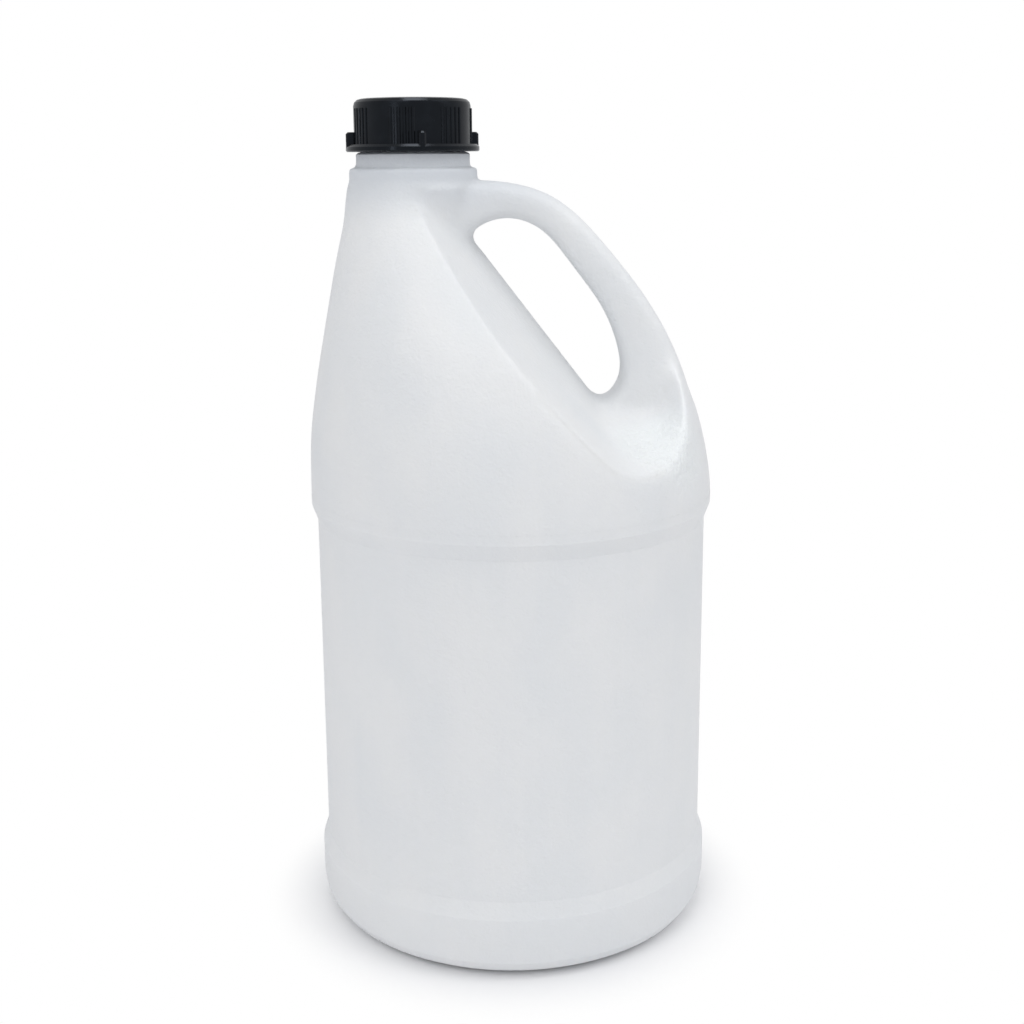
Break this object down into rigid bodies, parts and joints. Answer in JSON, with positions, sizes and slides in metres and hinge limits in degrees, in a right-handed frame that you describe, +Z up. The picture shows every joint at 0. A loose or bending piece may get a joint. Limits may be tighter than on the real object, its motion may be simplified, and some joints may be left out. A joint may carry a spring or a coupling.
{
  "type": "plastic gallon jug",
  "caption": "Round blow-moulded plastic jug with an offset neck, a hollow through handle beside it and a ribbed black screw cap with a sealing disc.",
  "frame": {"origin": "centre of the round foot on the surface that the jug stands on", "axes": "+Z up along the axis of the body; the handle is on +X and the neck is offset towards -X, both in the XZ plane"},
  "size_m": [0.1544, 0.1544, 0.3148],
  "materials": {
    "natural_hdpe": "natural milky HDPE, extrusion blow moulded in a blasted mould, satin",
    "black_pp": "black injection moulded PP, satin",
    "foam_liner": "white PE foam sheet, punched"
  },
  "bodies": {
    "bottle": {"jug": "natural_hdpe"},
    "cap_seal": {"cap_liner": "foam_liner"},
    "closure": {"cap": "black_pp"}
  },
  "joints": [
    {"name": "cap_lift", "type": "slide", "parent": "bottle", "child": "cap_seal", "axis": [0, 0, 1], "range_m": [0, 0.0294]},
    {"name": "cap_turn", "type": "hinge", "parent": "cap_seal", "child": "closure", "pos_m": [-0.0356, 0, 0.305], "axis": [0, 0, 1], "range_deg": [0, 2520]}
  ],
  "couplings": [
    {"joint": "cap_turn", "follows": "cap_lift", "rad_per_m": 1496}
  ]
}
